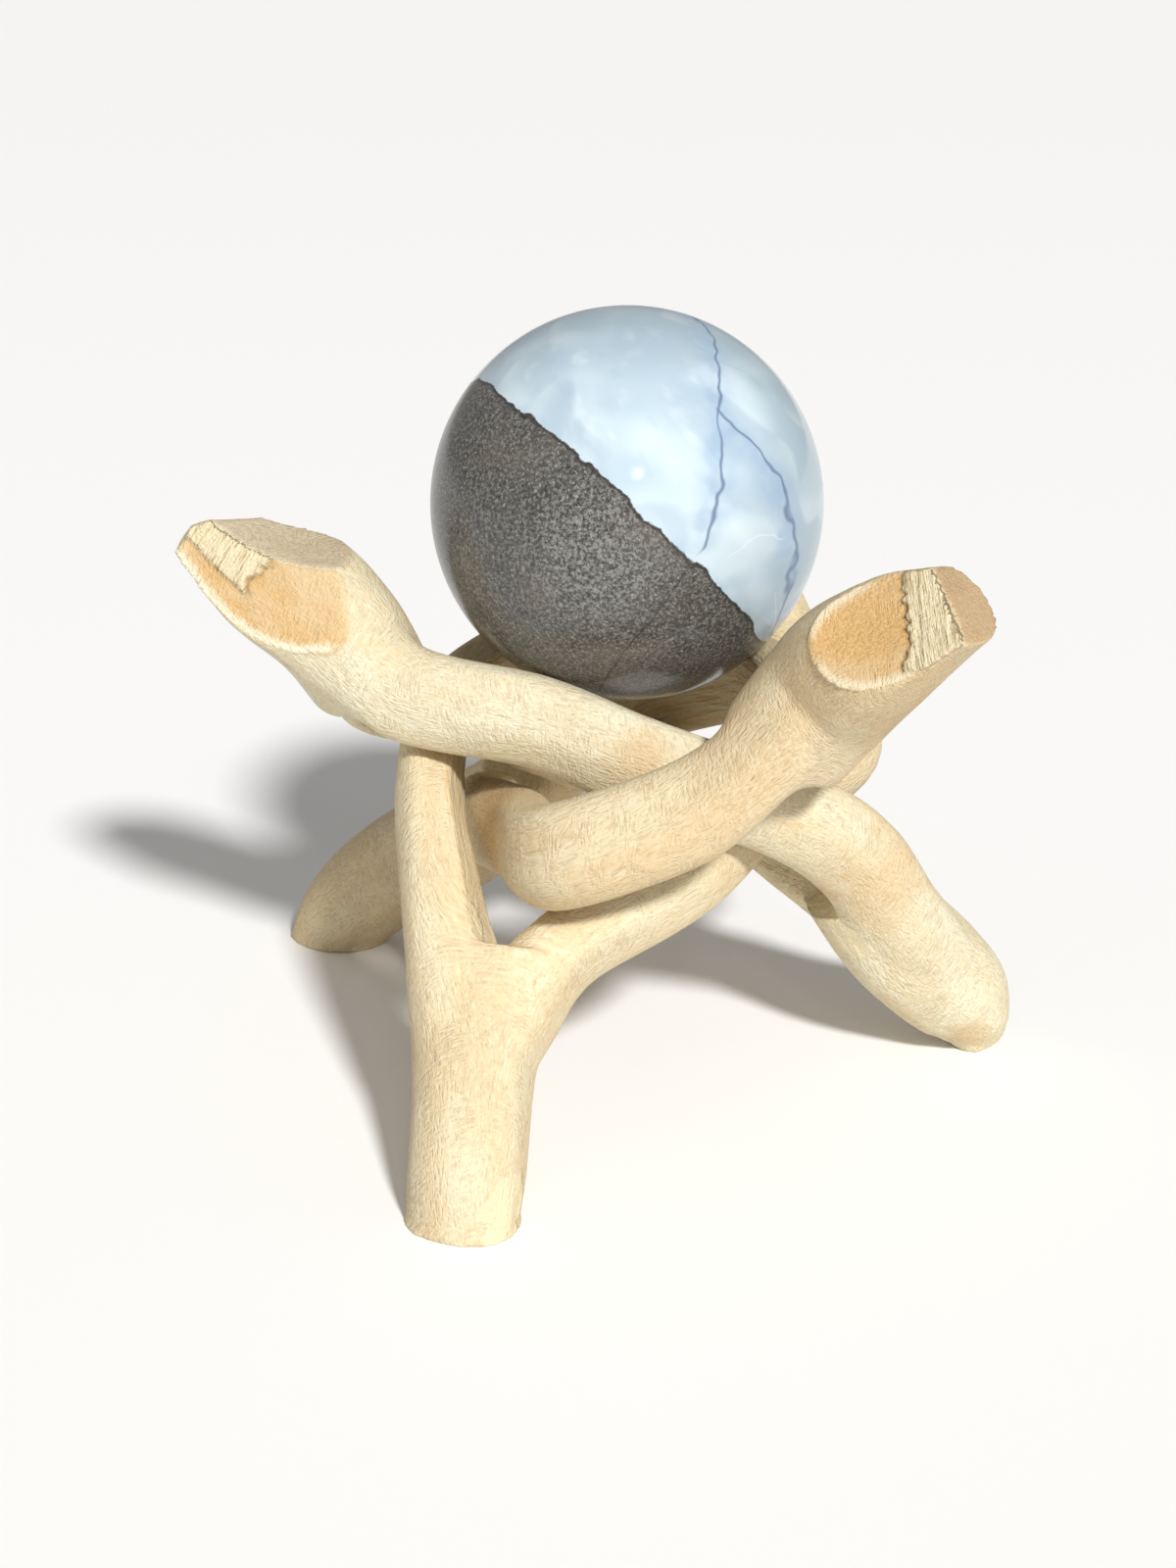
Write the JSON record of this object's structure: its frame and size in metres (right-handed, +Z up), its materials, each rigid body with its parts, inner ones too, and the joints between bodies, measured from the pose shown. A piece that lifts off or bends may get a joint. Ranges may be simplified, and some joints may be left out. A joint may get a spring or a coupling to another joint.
{
  "type": "decorative sphere on stand",
  "caption": "Polished two-tone stone sphere resting on the raised arms of a hand-carved wooden tripod whose legs are interlocked and fold open from one log.",
  "frame": {"origin": "middle of the footprint, on the surface that the three feet stand on", "axes": "+Z up from the feet to the sphere; the nearest foot, the front one, points towards -Y, and the right foot towards +X"},
  "size_m": [0.1336, 0.1271, 0.1238],
  "materials": {
    "wood_front": "matte",
    "wood_right": "matte",
    "wood_left": "matte",
    "stone": "polished"
  },
  "bodies": {
    "root": {"member_front": "wood_front", "member_right": "wood_right", "member_left": "wood_left", "stone_sphere": "stone"}
  },
  "joints": []
}
